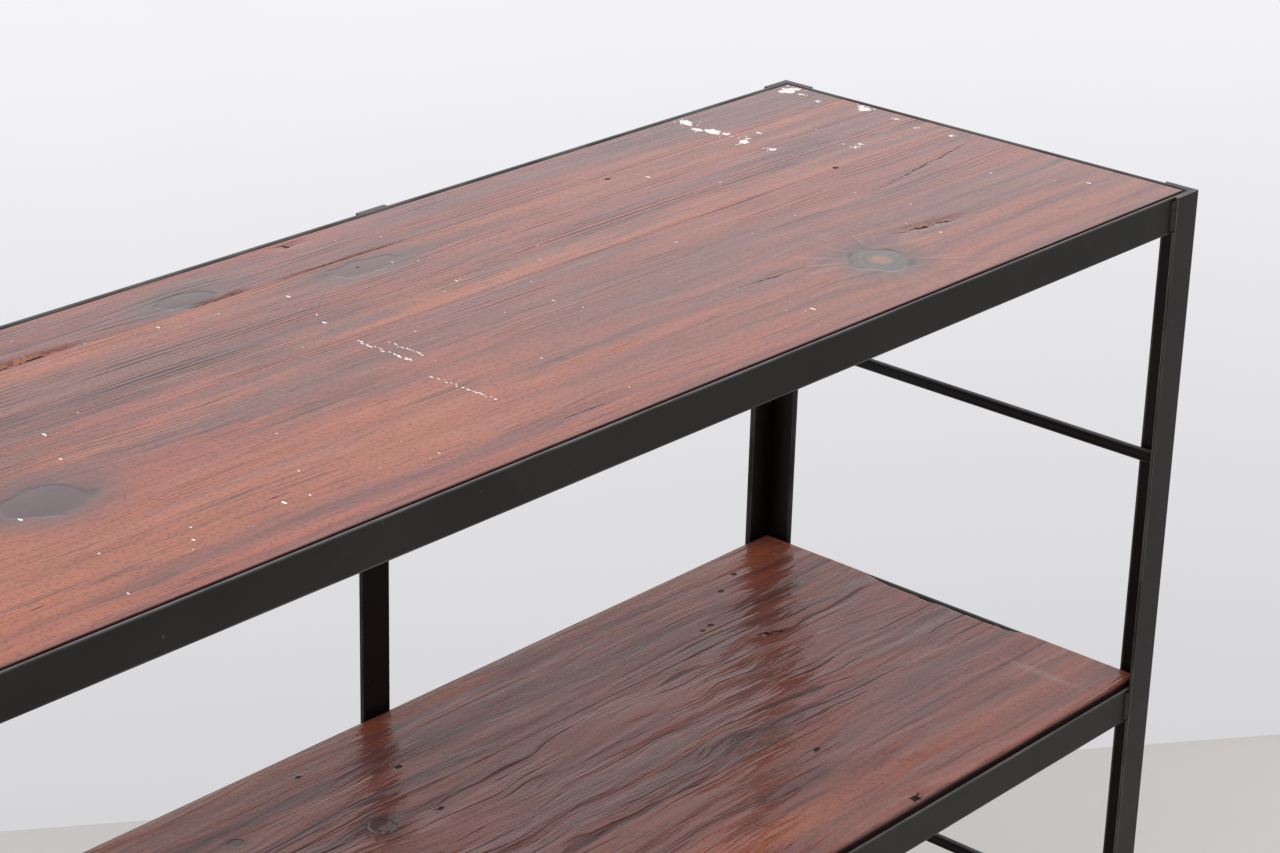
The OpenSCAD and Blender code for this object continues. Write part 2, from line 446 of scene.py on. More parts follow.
def timber_material(name, look):
    """Old softwood, stained red-brown under a gloss coat that follows the raised grain."""
    g = Graph(name)
    x, y, z = g.point()
    s = look.seed

    def wander(along, over, detail, offset):
        """Noise from -0.5 to 0.5 over the board."""
        return g.add(g.noise(x, y, 0.0, (along, over, 1), detail=detail, seed=s + offset), -0.5)

    across = round_knots(g, x, y, look.knots)
    across = g.add(across, g.times(wander(3.5, 9, 3, 1), 0.012 * look.wander))
    if look.swirl:
        across = g.add(across, g.times(wander(9, 22, 2, 2), 0.022 * look.swirl))

    def grain(along, over, detail, offset, rough=0.5):
        """Noise from 0 to 1, drawn out along the grain."""
        return g.noise(x, across, z, (along, over, over), detail, rough, s + offset)

    # Growth rings: distance from a pith line that wanders along the plank
    bend = g.times(g.add(g.noise(x, 0.0, 0.0, (1.5, 1, 1), detail=2, seed=s + 3), -0.5), 0.05 * look.wander)
    ry = g.add(across, -look.pith[0])
    rz = g.add(z, look.pith[1] - high(name).z, bend)
    ring = g.math("SQRT", g.add(g.times(ry, ry), g.times(rz, rz)))
    fine = grain(16, 130, 2, 7)
    ring = g.add(ring, g.times(fine, 0.0016))
    crowd = g.noise(ring, 0.0, 0.0, (60, 1, 1), detail=2, seed=s + 9)
    phase = g.add(g.times(ring, 1 / look.ring), g.times(crowd, 4.0))
    wave = g.math("PINGPONG", phase, 0.5)
    swell = grain(9, 70, 3, 11, rough=0.6)
    width = g.between(swell, 0.42, 0.70, 0.0, 1.8 * look.line)
    late = g.times(g.between(wave, g.math("SUBTRACT", 0.5, width), 0.5), g.between(swell, 0.42, 0.54))

    # Bands and patches across the plank
    front, back = look.bands[0][0], look.bands[-1][0]
    drift = g.times(wander(4, 25, 3, 12), 0.018)
    place = g.add(g.times(g.add(y, drift, -FRONT - front * MM), 1 / ((back - front) * MM)))
    orange, grey, line = g.ramp(place, [((mm - front) / (back - front), v) for mm, *v in look.bands])
    late = g.times(late, line)

    # Stain: it takes in streaks along the grain
    streak = grain(2.2, 60, 4, 13, rough=0.62)
    patch = grain(5, 16, 4, 15, rough=0.6)
    dash = grain(13, 320, 3, 17, rough=0.6)
    pore = grain(45, 520, 2, 19)
    base = g.mix(g.between(patch, 0.3, 0.7), RED, LIGHT_RED)
    base = g.mix(g.times(orange, g.between(streak, 0.36, 0.60)), base, STAIN_COLOURS["orange"])
    faded = g.between(g.add(streak, g.times(patch, 0.8)), 1.02, 0.76)
    base = g.mix(g.times(grey, faded), base, STAIN_COLOURS["grey"])
    base = g.mix(g.between(streak, 0.45, 0.28, 0, 0.65), base, DARK_STREAK)
    for from_right, from_front, rx, ry, kind, amount in look.stains:
        away, _ = oval_distance(g, x, y, at(from_right, from_front), rx * MM, ry * MM, 0.5)
        spread = g.times(g.between(away, 1.15, 0.35), g.between(streak, 0.30, 0.55, 0.45, 1.0), amount)
        base = g.mix(spread, base, STAIN_COLOURS[kind])
    base = g.mix(g.times(late, 0.9), base, RING_LINE)
    scored = g.times(g.between(dash, 0.46, 0.30, 0, 0.65), g.between(swell, 0.35, 0.55, 0.45, 1.0))
    base = g.mix(scored, base, DARK_DASH)
    base = g.mix(g.between(dash, 0.56, 0.72, 0, 0.45), base, PALE_DASH)
    crumb = g.noise(x, y, z, 420, detail=2, seed=s + 20)
    base = g.mix(g.between(crumb, 0.5, 0.35, 0, 0.35), base, CRUMB)
    base = g.mix(g.between(pore, 0.69, 0.76, 0, 0.8), base, PORE)

    height = g.add(g.times(late, -1.0), g.times(dash, 0.55), g.times(streak, 1.6), g.times(crumb, 0.22))
    dull = g.times(late, 0.65)
    for knot in look.knots:
        base, height = with_knot(g, x, y, knot, base, height)
    for crack in look.cracks:
        mask = crack_mask(g, x, y, crack)
        if crack.torn:
            base = g.mix(g.times(crack_mask(g, x, y, crack, 2.4), crack.torn), base, FRESH_WOOD)
        # painted shade: the crack's inside is darkened, as the surface has no gap there
        base = g.mix(mask, base, CRACK_SHADE)
        height = g.add(height, g.times(mask, -3.0))
        dull = g.math("MAXIMUM", dull, mask)
    for from_right, from_front, radius in look.holes:
        away, _ = oval_distance(g, x, y, at(from_right, from_front), radius * MM * 1.4, radius * MM, 0.5)
        mask = g.between(away, 1.05, 0.6)
        # painted shade: the hole's inside is darkened, as the surface has no hole there
        base = g.mix(mask, base, HOLE_SHADE)
        height = g.add(height, g.times(mask, -2.0))
        dull = g.math("MAXIMUM", dull, mask)
    # painted shade: the arrises, ends, sides and underside darken, as if in the gaps beside them; the coat
    # drops off there too
    edge = g.node("ShaderNodeAttribute", attribute_name="edge").outputs["Fac"]
    base = g.mix(edge, base, EDGE_SHADE)

    dull = g.math("MAXIMUM", dull, g.times(edge, 0.7))
    soft = grain(10, 75, 3, 21)
    slow = grain(7, 30, 2, 22)
    coat_height = g.add(g.times(height, 0.85), g.times(soft, 2.8 * look.wave), g.times(slow, 4.0 * look.wave))
    rough = g.add(g.times(late, 0.1), g.times(dash, 0.15), 0.38)
    coat = {
        "IOR": 1.45,
        "Specular IOR Level": 0.2,
        "Coat Weight": g.times(g.math("SUBTRACT", 1.0, dull), look.coat),
        "Coat Roughness": 0.11,
        "Coat IOR": 1.47,
        "Coat Normal": g.bump(coat_height, 0.30 * MM * look.relief),
    }
    return g.finish(base, rough, g.bump(height, 0.35 * MM * look.relief), coat)


def with_knot(g, x, y, knot, base, height):
    """base and height with a knot's own rings, dark rim and core laid over them."""
    centre, rx = (knot.x, knot.y), knot.radius * knot.stretch
    away, offset = oval_distance(g, x, y, centre, rx, knot.radius, 0.4)
    inside = g.between(away, 1.15, 0.85)
    grain = g.noise(x, y, 0.0, (300, 300, 1), detail=3, seed=knot.x)
    if knot.kind == "ringed":
        split = g.node("ShaderNodeSeparateXYZ", {"Vector": offset})
        angle = g.math("ARCTAN2", split.outputs[1], split.outputs[0])
        flare = g.noise(g.times(away, 0.25), angle, 0.0, (1, 6, 1), detail=3, seed=knot.x + 2)
        rays = g.times(g.between(away, 1.0, 1.4), g.between(away, 3.4, 1.6), g.between(flare, 0.5, 0.64))
        base = g.mix(g.times(rays, 0.35), base, KNOT_RAY)
        height = g.add(height, g.times(rays, 0.5))
        rings = g.math("PINGPONG", g.times(away, 4.0), 0.5)
        wood = g.mix(g.times(rings, g.add(grain, 0.6)), *KNOT_WOOD["ringed"])
        wood = g.mix(g.between(away, 1.25 * knot.core, 0.75 * knot.core), wood, KNOT_CORE)
    else:
        wood = g.mix(grain, *KNOT_WOOD[knot.kind])
    broken = g.noise(x, y, 0.0, (60, 60, 1), detail=3, seed=knot.x + 5)
    rim = g.times(g.between(away, 0.80, 0.95), g.between(away, 1.12, 0.97), g.between(broken, 0.42, 0.62))
    if knot.kind != "ringed":
        rim = g.times(rim, 0.3)
    base = g.mix(g.between(away, 2.3, 1.0, 0, 0.6), base, KNOT_HALO)
    base = g.mix(inside, base, wood)
    base = g.mix(g.times(rim, 0.8), base, KNOT_RIM)
    height = g.times(height, g.between(away, 0.85, 1.0, 0.25, 1.0))
    return base, g.add(height, g.times(rim, -1.2), g.times(inside, -0.4))


# ---- steelwork


def rounded_outline(corners):
    """A closed outline from (x, y, radius) corners, as (x, y, edge) points. Edge is 1 where it is rounded."""
    points = []
    count = len(corners)
    for i, (cx, cy, radius) in enumerate(corners):
        here = Vector((cx, cy))
        before, after = corners[i - 1], corners[(i + 1) % count]
        back, ahead = Vector(before[:2]) - here, Vector(after[:2]) - here
        back_guard = min(GUARD, 0.4 * (back.length - radius - before[2]))
        ahead_guard = min(GUARD, 0.4 * (ahead.length - radius - after[2]))
        back, ahead = back.normalized(), ahead.normalized()
        if radius == 0:
            points.append((cx, cy, 0.0))
            continue
        centre = here + (back + ahead) * radius
        guard = here + back * (radius + back_guard)
        points.append((guard.x, guard.y, 0.0))
        parts = 4 if radius > 1 * MM else 3
        for j in range(parts + 1):
            turn = j / parts * math.pi / 2
            place = centre - ahead * radius * math.cos(turn) - back * radius * math.sin(turn)
            points.append((place.x, place.y, 1.0))
        guard = here + ahead * (radius + ahead_guard)
        points.append((guard.x, guard.y, 0.0))
    return points


def angle_outline(leg):
    """Section of the angle: heel at the origin, legs along +x and +y."""
    t = ANGLE_T
    lower = [(0, 0, 1.6 * EDGE_R), (leg, 0, EDGE_R), (leg, t, TOE_R)]
    return rounded_outline([*lower, (t, t, 0), (t, leg, TOE_R), (0, leg, EDGE_R)])


def flat_outline(width, thickness):
    return rounded_outline(
        [(0, 0, EDGE_R), (width, 0, EDGE_R), (width, thickness, EDGE_R), (0, thickness, EDGE_R)]
    )


def round_outline(radius, parts=36):
    turns = [2 * math.pi * i / parts for i in range(parts)]
    return [(radius * math.cos(a), radius * math.sin(a), 0.0) for a in turns]


def sweep(name, outline, length, place, mitre=False, spacing=60 * MM, seed=0.0, uneven=0.0):
    """A bar of that outline along local +z. place is the matrix from local to the frame.

    A mitred bar's ends are cut back by each point's local x, so that x = 0 keeps the full length.
    uneven is the share by which a bar's section may shrink along it.
    """
    rings, bar_wear_and_highlight = [], []
    rows = [0.0, 0.35 * MM / length] + steps(0, 1, spacing / length)[1:-1] + [1 - 0.35 * MM / length, 1.0]
    for j, share in enumerate(rows):
        ring = []
        for px, py, edge in outline:
            cut = px if mitre else 0.0
            along = cut + (length - 2 * cut) * share
            slim = 1 - uneven * (0.5 + 0.5 * ripple(along * 30, px * 150, py * 150 + seed))
            ring.append(place @ Vector((px * slim, py * slim, along)))
            rub = 0.5 + 0.5 * ripple(along * 9, seed, edge)
            # the ends of a square-cut bar, such as the posts' tops, take the lighter edge colour too: wear
            # and a painted sheen
            end = 0.7 if j in (0, len(rows) - 1) and not mitre else 0.0
            bar_wear_and_highlight.append(max(edge * (0.55 + 0.45 * rub), end))
        rings.append(ring)
    verts, faces = [], []
    loft(verts, faces, rings)
    add_mesh(f"{name}_bar", verts, faces, STEEL, "frame", replaces=[name], edge=bar_wear_and_highlight)


def axes(x, y, z, origin):
    """The matrix whose local axes are x, y and z, from that origin."""
    return Matrix.Translation(origin) @ Matrix((x, y, z)).transposed().to_4x4()


def make_posts():
    for corner in CORNERS:
        node = f"post_{corner}"
        lo, hi = low(node), high(node)
        side = 1 if corner.endswith("left") else -1
        face = 1 if corner.startswith("front") else -1
        heel = Vector((lo.x if side > 0 else hi.x, lo.y if face > 0 else hi.y, lo.z))
        place = axes((side, 0, 0), (0, face, 0), (0, 0, 1), heel)
        sweep(node, angle_outline(hi.x - lo.x), hi.z - lo.z, place, seed=side + 3 * face)


def make_rails():
    """Mitred angle rails: each leg stands along its side of the frame, the other points inwards."""
    edges = (
        ("front", (0, 1, 0), (1, 0, 0)), ("back", (0, -1, 0), (1, 0, 0)),
        ("left", (1, 0, 0), (0, 1, 0)), ("right", (-1, 0, 0), (0, 1, 0)),
    )
    for n, level in enumerate(LEVELS):
        for m, (edge, inward, along) in enumerate(edges):
            node = f"{level}_rail_{edge}"
            lo, hi = low(node), high(node)
            heel = Vector((hi.x if edge == "right" else lo.x, hi.y if edge == "back" else lo.y, lo.z))
            place, length = axes(inward, (0, 0, 1), along, heel), (hi - lo).dot(Vector(along))
            sweep(node, angle_outline(hi.z - lo.z), length, place, mitre=True, seed=7.3 * n + 1.9 * m)


def make_uprights():
    for side in ("left", "right"):
        node = f"upright_{side}"
        lo, hi = low(node), high(node)
        place = axes((1, 0, 0), (0, 1, 0), (0, 0, 1), lo)
        sweep(node, flat_outline(hi.x - lo.x, hi.y - lo.y), hi.z - lo.z, place, seed=lo.x * 9)


def make_rods():
    for bay in ("upper", "lower"):
        for side in ("left", "right"):
            node = f"rod_{bay}_{side}"
            lo, hi = low(node), high(node)
            middle = (lo + hi) / 2
            place = axes((1, 0, 0), (0, 0, -1), (0, 1, 0), Vector((middle.x, lo.y, middle.z)))
            outline = round_outline((hi.x - lo.x) / 2)
            sweep(node, outline, hi.y - lo.y, place, spacing=20 * MM, seed=middle.z, uneven=0.02)


RAIL_BEAD, UPRIGHT_BEAD, ROD_BEAD = 2.1 * MM, 1.7 * MM, 1.5 * MM  # radius of each weld bead
BEAD_STEP = 1.0 * MM  # along a bead, a quarter of one of its pools


def bead(verts, faces, path, radius, seed, parts=8):
    """Adds a weld bead along a path: a round run with the ripples of its pools."""
    total, rings = len(path), []
    for j, place in enumerate(path):
        ahead = (path[min(j + 1, total - 1)] - path[max(j - 1, 0)]).normalized()
        side = ahead.orthogonal().normalized()
        up = ahead.cross(side)
        pool = 0.12 * math.sin(2 * math.pi * j / 4) + 0.16 * ripple(j * 0.35, seed)
        ends = min(1.0, 0.55 + 0.25 * min(j, total - 1 - j))
        r = radius * (1 + pool) * ends
        turns = [2 * math.pi * i / parts for i in range(parts)]
        rings.append([place + side * r * math.cos(a) + up * r * math.sin(a) for a in turns])
    loft(verts, faces, rings)


def vertical_bead(beads, x, y, z0, z1, radius, seed):
    """Adds a weld bead that runs straight up."""
    start, end = Vector((x, y, z0)), Vector((x, y, z1))
    path = [start.lerp(end, t) for t in steps(0, 1, BEAD_STEP / (end - start).length)]
    bead(*beads, path, radius, seed)


def make_welds():
    """Beads where the rails, bars and uprights meet the posts and each other."""
    rails, rods, uprights = ([], []), ([], []), ([], [])
    for level in LEVELS:
        rail_lo, rail_hi = low(f"{level}_rail_front"), high(f"{level}_rail_front")
        z0, z1 = rail_lo.z + 1.5 * MM, rail_hi.z - 2.5 * MM
        for corner in CORNERS:
            lo, hi = low(f"post_{corner}"), high(f"post_{corner}")
            left, front = corner.endswith("left"), corner.startswith("front")
            toe_x = hi.x if left else lo.x
            face_y = lo.y + ANGLE_T if front else hi.y - ANGLE_T
            vertical_bead(rails, toe_x, face_y, z0, z1, RAIL_BEAD, toe_x + z0)
            toe_y = hi.y if front else lo.y
            face_x = lo.x + ANGLE_T if left else hi.x - ANGLE_T
            vertical_bead(rails, face_x, toe_y, z0, z1, RAIL_BEAD, toe_y + z1)
        for side in ("left", "right"):
            lo, hi = low(f"upright_{side}"), high(f"upright_{side}")
            for edge_x in (lo.x, hi.x):
                vertical_bead(uprights, edge_x, lo.y, z0, z1, UPRIGHT_BEAD, edge_x)
    for bay in ("upper", "lower"):
        for side in ("left", "right"):
            lo, hi = low(f"rod_{bay}_{side}"), high(f"rod_{bay}_{side}")
            middle, radius = (lo + hi) / 2, (hi.x - lo.x) / 2
            for end_y in (lo.y, hi.y):
                turns = [2 * math.pi * i / 44 for i in range(45)]
                ring = [
                    Vector((middle.x + radius * math.cos(a), end_y, middle.z + radius * math.sin(a)))
                    for a in turns
                ]
                bead(*rods, ring, ROD_BEAD, middle.z + end_y)
    for name, (verts, faces) in (("rails", rails), ("rods", rods), ("uprights", uprights)):
        add_mesh(f"weld_beads_{name}", verts, faces, WELD, "frame")


def dress_plates():
    """The foot plates and their nuts keep their CAD shape, with broken edges."""
    for name in [f"foot_plate_{c}" for c in CORNERS] + ["foot_weld_nuts"]:
        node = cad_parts[name]
        material = PLATED if name == "foot_weld_nuts" else STEEL
        for held in node.material_slots:
            held.material = material
        weld = node.modifiers.new("join", "WELD")
        weld.merge_threshold = 0.00001
        edge = node.modifiers.new("edges", "BEVEL")
        edge.width, edge.segments, edge.angle_limit = 0.3 * MM, 2, math.radians(40)


# ---- levelling feet


def make_pads():
    """Moulded pads: a stepped foot with a socket that the screw turns in."""
    for corner in CORNERS:
        lo, hi = low(f"foot_pad_{corner}"), high(f"foot_pad_{corner}")
        screw = low(f"foot_screw_{corner}")
        centre = Vector(((lo.x + hi.x) / 2, (lo.y + hi.y) / 2, lo.z))
        r, h = (hi.x - lo.x) / 2, hi.z - lo.z
        floor_h, socket_r = screw.z - lo.z, 4.05 * MM
        profile = [
            (r - 2.2 * MM, 0.0), (r - 0.6 * MM, 0.15 * MM), (r, 0.9 * MM), (r, 3.2 * MM),
            (r - 0.4 * MM, 3.7 * MM), (r - 1.2 * MM, 3.9 * MM), (r - 1.5 * MM, 4.4 * MM),
            (r - 1.7 * MM, h - 1.2 * MM), (r - 2.6 * MM, h - 0.2 * MM), (r - 3.2 * MM, h),
            (socket_r + 0.3 * MM, h), (socket_r, h - 0.3 * MM), (socket_r, floor_h),
        ]
        verts, faces = [], []
        loft(verts, faces, [turned(centre, radius, height, 48) for radius, height in profile])
        name, body = f"levelling_pad_{corner}", f"pad_{corner}"
        add_mesh(name, verts, faces, PLASTIC, body, replaces=[f"foot_pad_{corner}"])


def make_screws():
    """Levelling screws with their thread, hexagonal collar and chamfered tip."""
    pitch, depth, radius, chamfer = 1.25 * MM, 0.6 * MM, 4.0 * MM, 1.0 * MM
    for corner in CORNERS:
        node = f"foot_screw_{corner}"
        lo, hi = low(node), high(node)
        collar_z0, collar_z1 = high(f"foot_pad_{corner}").z, low(f"foot_plate_{corner}").z
        centre = Vector(((lo.x + hi.x) / 2, (lo.y + hi.y) / 2, 0))

        def thread(angle, z):
            tooth = abs(((z / pitch - angle / (2 * math.pi)) % 1.0) * 2 - 1)
            plain = z < collar_z1 + 0.5 * MM
            return radius - (0.0 if plain else depth * tooth) - 0.8 * max(0.0, z - (hi.z - chamfer))

        rows = steps(lo.z, hi.z, pitch / 4)
        verts, faces = [], []
        loft(verts, faces, [turned(centre, lambda a: thread(a, z), z, 16) for z in rows])
        hex_collar(verts, faces, centre, (hi.y - lo.y) / 2, collar_z0, collar_z1)
        name, body = f"levelling_screw_{corner}", f"screw_{corner}"
        add_mesh(name, verts, faces, PLATED, body, replaces=[node])


def hex_collar(verts, faces, centre, flats, z0, z1):
    """Adds a hexagonal collar whose corners are turned off at a slant, as on a nut."""
    bevel, sixth = 0.7 * MM, math.pi / 6
    corner_r, slant_r = flats / math.cos(sixth), flats * 1.09 * 0.93

    def hexagon(angle, limit):
        off = (angle + sixth) % (2 * sixth) - sixth
        return min(flats / math.cos(off - math.copysign(sixth, off)) if off else corner_r, limit)

    levels = [(z0, slant_r), (z0 + bevel, corner_r), (z1 - bevel, corner_r), (z1, slant_r)]
    loft(verts, faces, [turned(centre, lambda a: hexagon(a, limit), z, 48) for z, limit in levels])


# ---- boards


LOOKS = {
    # The top board
    "top_plank_front": Look(
        11, (-0.40, 0.10), 0.0042,
        [(7, 0.50, 0.35, 0.35), (60, 0.60, 0.30, 0.25), (110, 0.45, 0.45, 0.3), (160, 0.2, 0.6, 0.5),
         (188, 0.15, 0.7, 0.6), (195, 0.4, 0.5, 0.5)],
        relief=0.6, line=0.14, swirl=0.5,
        knots=[
            Knot(260, 64, 21, core=0.32), Knot(845, 137, 20, core=0.0, stretch=1.3, kind="dark"),
        ],
        cracks=[
            Crack((222, 90), (150, 77), 1.9, torn=0.75), Crack((172, 146), (-8, 174), 0.8),
            Crack((372, 94), (282, 87), 0.7), Crack((770, 60), (750, 59), 1.0),
            Crack((590, 28), (540, 26), 0.7),
        ],
        stains=[
            (700, 75, 210, 46, "orange", 0.85), (960, 60, 190, 60, "orange", 0.85),
            (730, 172, 150, 15, "orange", 0.7), (352, 92, 60, 16, "grey", 0.75),
            (440, 120, 110, 26, "grey", 0.5), (120, 96, 120, 22, "grey", 0.55),
            (620, 160, 190, 22, "grey", 0.6), (640, 136, 60, 10, "dark", 0.5),
        ],
    ),
    "top_plank_middle": Look(
        23, (0.70, 0.03), 0.0036,
        [(195, 0.4, 0.5, 0.35), (199, 0.9, 0.4, 0.25), (216, 0.85, 0.6, 0.4), (221, 0.3, 0.6, 0.7),
         (240, 0.1, 0.7, 0.7), (262, 0.2, 0.7, 0.5), (268, 0.6, 0.4, 0.5), (273, 1.0, 0.2, 0.3),
         (288, 0.9, 0.2, 0.35), (292, 0.3, 0.5, 0.5)],
        relief=0.8, wander=0.35,
        knots=[Knot(495, 275, 11, core=0.2, stretch=2.6, kind="faint")],
        holes=[(263, 286, 2.0), (136, 197, 2.4), (497, 277, 1.2)],
        stains=[
            (560, 209, 50, 8, "grey", 0.9), (440, 212, 60, 8, "grey", 0.8),
            (640, 205, 40, 6, "dark", 0.5), (700, 228, 160, 8, "dark", 0.6),
            (420, 205, 70, 7, "orange", 0.9), (330, 281, 120, 7, "orange", 1.0),
            (90, 240, 80, 14, "grey", 0.6),
        ],
    ),
    "top_plank_back": Look(
        37, (0.60, 0.10), 0.0036,
        [(292, 0.4, 0.6, 0.4), (300, 0.2, 0.8, 0.45), (325, 0.1, 1.0, 0.4), (343, 0.1, 0.8, 0.35)],
        relief=0.8, line=0.2, wander=0.6,
        knots=[Knot(609, 306, 11, core=0.0, stretch=2.0, push=0.85, kind="dark")],
        cracks=[
            Crack((770, 295.5), (696, 293.5), 2.6, torn=0.9),
            Crack((612, 294), (572, 293), 2.2, torn=0.3), Crack((511, 338), (490, 333), 1.6),
            Crack((560, 294), (430, 293), 0.7),
        ],
        stains=[(600, 318, 60, 12, "grey", 0.9), (200, 300, 90, 6, "orange", 0.8),
                (110, 322, 190, 24, "grey", 0.95)],
    ),
    # The middle board: the same timber with its grain worn into relief.
    "middle_plank_front": Look(
        41, (-0.26, 0.10), 0.0080,
        [(7, 0.35, 0.5, 0.25), (40, 0.5, 0.4, 0.2), (90, 0.4, 0.5, 0.35), (125, 0.3, 0.6, 0.7)],
        relief=1.2, wave=1.8, line=0.12, wander=1.3, swirl=0.6, coat=0.80,
        cracks=[Crack((262, 10), (248, 17), 2.2), Crack((262, 16), (250, 9), 1.8),
                Crack((256, 97), (244, 103), 2.0)],
        holes=[(256, 13, 3.6), (250, 100, 2.4)],
        stains=[
            (345, 46, 60, 16, "orange", 0.9), (300, 78, 60, 10, "dark", 0.7),
            # the light band near the right end is a painted sheen
            (105, 66, 40, 11, "dark", 0.35), (53, 58, 5, 46, "sheen_band", 0.5),
            (430, 60, 60, 16, "orange", 0.8),
        ],
    ),
    "middle_plank_middle": Look(
        53, (-0.12, 0.12), 0.0066,
        [(125, 0.4, 0.5, 0.6), (150, 0.3, 0.55, 0.8), (200, 0.25, 0.6, 0.8), (249, 0.4, 0.5, 0.7)],
        relief=2.2, wave=1.8, line=0.15, wander=1.7, swirl=1.2, coat=0.78,
        knots=[Knot(522, 233, 9, core=0.4, kind="faint")],
        cracks=[Crack((485, 226), (474, 223), 2.4), Crack((150, 240), (118, 226), 2.0),
                Crack((250, 120), (236, 126), 1.4)],
        stains=[
            (240, 205, 50, 12, "orange", 0.6), (300, 150, 60, 10, "dark", 0.6),
            (60, 160, 60, 30, "grey", 0.5),
        ],
    ),
    "middle_plank_back": Look(
        67, (0.34, 0.16), 0.0058,
        [(249, 0.4, 0.5, 0.6), (280, 0.6, 0.4, 0.4), (315, 0.7, 0.3, 0.35), (343, 0.9, 0.2, 0.3)],
        relief=1.7, wave=2.0, line=0.14, wander=1.2, swirl=0.6, coat=0.72,
        knots=[Knot(600, 283, 5, core=0.3, kind="faint")],
        holes=[
            (461, 281, 2.4), (516, 317, 2.0), (158, 271, 2.4), (169, 269, 2.0),
            (110, 302, 2.2), (81, 314, 2.2),
        ],
        stains=[
            (300, 332, 40, 9, "dark", 0.6), (150, 300, 30, 14, "orange", 0.6),
            (60, 322, 70, 16, "orange", 0.7), (90, 270, 60, 8, "dark", 0.6),
            (420, 290, 80, 8, "dark", 0.5),
        ],
    ),
    # The bottom board is out of the picture: it gets the same timber as the middle one.
    "bottom_plank_front": Look(
        71, (-0.28, 0.13), 0.0060, [(7, 0.5, 0.4, 0.4), (70, 0.4, 0.5, 0.5), (125, 0.3, 0.5, 0.7)],
        relief=1.4, line=0.12, knots=[Knot(420, 70, 12)], cracks=[Crack((900, 40), (820, 46), 1.2)],
    ),
    "bottom_plank_middle": Look(
        83, (-0.10, 0.15), 0.0058, [(125, 0.4, 0.5, 0.8), (190, 0.2, 0.6, 1.0), (249, 0.3, 0.5, 0.8)],
        relief=1.9, line=0.15, wander=1.4, swirl=0.7, knots=[Knot(870, 190, 9, kind="faint")],
    ),
    "bottom_plank_back": Look(
        97, (0.32, 0.14), 0.0048, [(249, 0.3, 0.5, 0.7), (300, 0.4, 0.5, 0.5), (343, 0.6, 0.3, 0.4)],
        relief=1.5, line=0.15, holes=[(300, 300, 2.4), (640, 280, 2.0)],
    ),
}


def end_recess(name, y):
    """How far the right end of a plank is worn back at a place across the depth."""
    across = (y - FRONT) / MM
    if not name.startswith("middle"):
        return 0.2 * MM * (1 + ripple(across / 17, 3.0))
    worn = smooth_step(98, 116, across) * smooth_step(252, 226, across)
    return (0.3 + worn * (6.2 + 1.6 * ripple(across / 22, 8.0) + 0.8 * ripple(across / 6, 2.0))) * MM


PAINT_ROOM = 0.12 * MM  # what every top surface leaves free for the paint on it
THICK_PAINT, THIN_PAINT = 0.10 * MM, 0.05 * MM
TOP_ARRIS, TOP_DIP = 0.7 * MM, 0.10 * MM
LOW_ARRIS, LOW_DIP = 2.0 * MM, 0.30 * MM


def arris_drop(radius, gap):
    """How far a rounded edge has fallen away at that distance from its side."""
    if gap >= radius:
        return 0.0
    across = radius - max(gap, 0.0)
    return radius - math.sqrt(max(radius * radius - across * across, 0.0))


def plank_drop(look, lo, hi, outer, arris, dip, x, y):
    """How far a plank's worn top lies below its CAD solid's at a place."""
    total = PAINT_ROOM + dip * (1 + ripple(x * 7, y * 22, look.seed))
    total += 0.25 * dip * (1 + ripple(x * 25, y * 160, look.seed + 9))
    uneven = 1 + 0.5 * ripple(x * 16, 4.0, look.seed)
    for is_outer, gap in zip(outer, (y - lo.y, hi.y - y)):
        total += arris_drop(arris * uneven if is_outer else 0.2 * MM, gap)
    for gap in (x - lo.x, hi.x - x):
        total += 0.7 * arris_drop(0.9 * arris, gap)
    for knot in look.knots:
        away = math.hypot((x - knot.x) / knot.stretch, y - knot.y) / knot.radius
        total += 0.2 * MM * math.exp(-((away - 1) ** 2) * 6)
    for crack in look.cracks:
        run = crack.end - crack.start
        place = Vector((x, y)) - crack.start
        share = place.dot(run) / run.length_squared
        if 0 < share < 1:
            aside = (place - run * share).length / (1.2 * crack.width)
            total += 1.4 * crack.width * math.sin(math.pi * share) * max(0.0, 1 - aside)
    return total


